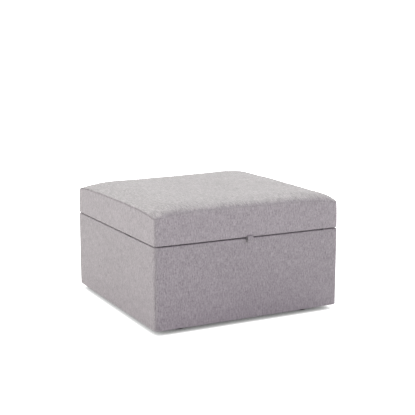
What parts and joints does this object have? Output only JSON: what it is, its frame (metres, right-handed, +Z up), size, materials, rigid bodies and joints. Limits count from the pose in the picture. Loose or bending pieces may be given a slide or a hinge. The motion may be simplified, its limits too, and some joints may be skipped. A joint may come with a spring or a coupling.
{
  "type": "storage ottoman",
  "caption": "Square upholstered ottoman with a padded, hinged lid on gas springs over a lined storage box, with a pull tab and low feet.",
  "frame": {"origin": "on the floor, under the middle of the base", "axes": "+Z up, +X to the right as seen from the front, the front with its pull tab faces -Y and the hinges are at +Y"},
  "size_m": [0.7, 0.7155, 0.4175],
  "materials": {
    "upholstery": "fine woven chenille with an upright streak, grey with a little mauve",
    "wadding": "soft polyester wadding",
    "foam": "open-cell foam",
    "plywood": "sanded, unfinished",
    "pine": "planed, unfinished",
    "black_cloth": "thin non-woven cloth",
    "storage_lining": "plain woven lining cloth",
    "black_plastic": "moulded, fine grain",
    "zinc_plated_steel": "bright zinc plating",
    "bright_steel": "ground and polished",
    "black_painted_steel": "satin black paint",
    "rubber": "matt"
  },
  "bodies": {
    "base": {"base_panel_front": "plywood", "base_panel_back": "plywood", "base_panel_left": "plywood", "base_panel_right": "plywood", "base_rail_front": "pine", "base_rail_back": "pine", "storage_floor": "plywood", "frame_screws": "zinc_plated_steel", "base_wadding": "wadding", "base_cover_front": "upholstery", "base_cover_back": "upholstery", "base_cover_left": "upholstery", "base_cover_right": "upholstery", "storage_lining": "storage_lining", "dust_cover": "black_cloth", "foot_front_left": "black_plastic", "foot_front_right": "black_plastic", "foot_back_left": "black_plastic", "foot_back_right": "black_plastic", "foot_screws": "zinc_plated_steel", "lid_bumpers": "rubber", "hinge_base_leaf_left": "zinc_plated_steel", "hinge_base_leaf_right": "zinc_plated_steel", "hinge_pin_left": "bright_steel", "hinge_pin_right": "bright_steel", "hinge_base_screws": "zinc_plated_steel", "strut_base_bracket_left": "zinc_plated_steel", "strut_base_bracket_right": "zinc_plated_steel", "strut_base_screws": "zinc_plated_steel", "strut_base_clips": "bright_steel"},
    "lid": {"lid_board": "plywood", "lid_foam": "foam", "lid_wadding": "wadding", "lid_top_cover": "upholstery", "lid_band_front": "upholstery", "lid_band_back": "upholstery", "lid_band_left": "upholstery", "lid_band_right": "upholstery", "lid_underlining": "black_cloth", "pull_tab": "upholstery", "hinge_lid_leaf_left": "zinc_plated_steel", "hinge_lid_leaf_right": "zinc_plated_steel", "hinge_lid_screws": "zinc_plated_steel", "strut_lid_bracket_left": "zinc_plated_steel", "strut_lid_bracket_right": "zinc_plated_steel", "strut_lid_screws": "zinc_plated_steel", "strut_lid_clips": "bright_steel"},
    "spring_cylinder_left": {"strut_barrel_left": "black_painted_steel", "strut_base_socket_left": "black_plastic"},
    "spring_rod_left": {"strut_rod_left": "bright_steel", "strut_lid_socket_left": "black_plastic"},
    "spring_cylinder_right": {"strut_barrel_right": "black_painted_steel", "strut_base_socket_right": "black_plastic"},
    "spring_rod_right": {"strut_rod_right": "bright_steel", "strut_lid_socket_right": "black_plastic"}
  },
  "joints": [
    {"name": "lid_hinge", "type": "hinge", "parent": "base", "child": "lid", "pos_m": [0, 0.35, 0.2935], "axis": [-1, 0, 0], "range_deg": [0, 85]},
    {"name": "spring_lower_pivot_left", "type": "hinge", "parent": "base", "child": "spring_cylinder_left", "pos_m": [-0.306, 0.29565, 0.09066], "axis": [-1, 0, 0], "range_deg": [0, 42.5]},
    {"name": "spring_upper_pivot_left", "type": "hinge", "parent": "lid", "child": "spring_rod_left", "pos_m": [-0.306, 0.14039, 0.28068], "axis": [1, 0, 0], "range_deg": [0, 42.5]},
    {"name": "spring_lower_pivot_right", "type": "hinge", "parent": "base", "child": "spring_cylinder_right", "pos_m": [0.306, 0.29565, 0.09066], "axis": [-1, 0, 0], "range_deg": [0, 42.5]},
    {"name": "spring_upper_pivot_right", "type": "hinge", "parent": "lid", "child": "spring_rod_right", "pos_m": [0.306, 0.14039, 0.28068], "axis": [1, 0, 0], "range_deg": [0, 42.5]}
  ],
  "couplings": [
    {"joint": "spring_lower_pivot_left", "follows": "lid_hinge", "ratio": 0.5},
    {"joint": "spring_upper_pivot_left", "follows": "lid_hinge", "ratio": 0.5},
    {"joint": "spring_lower_pivot_right", "follows": "lid_hinge", "ratio": 0.5},
    {"joint": "spring_upper_pivot_right", "follows": "lid_hinge", "ratio": 0.5}
  ]
}
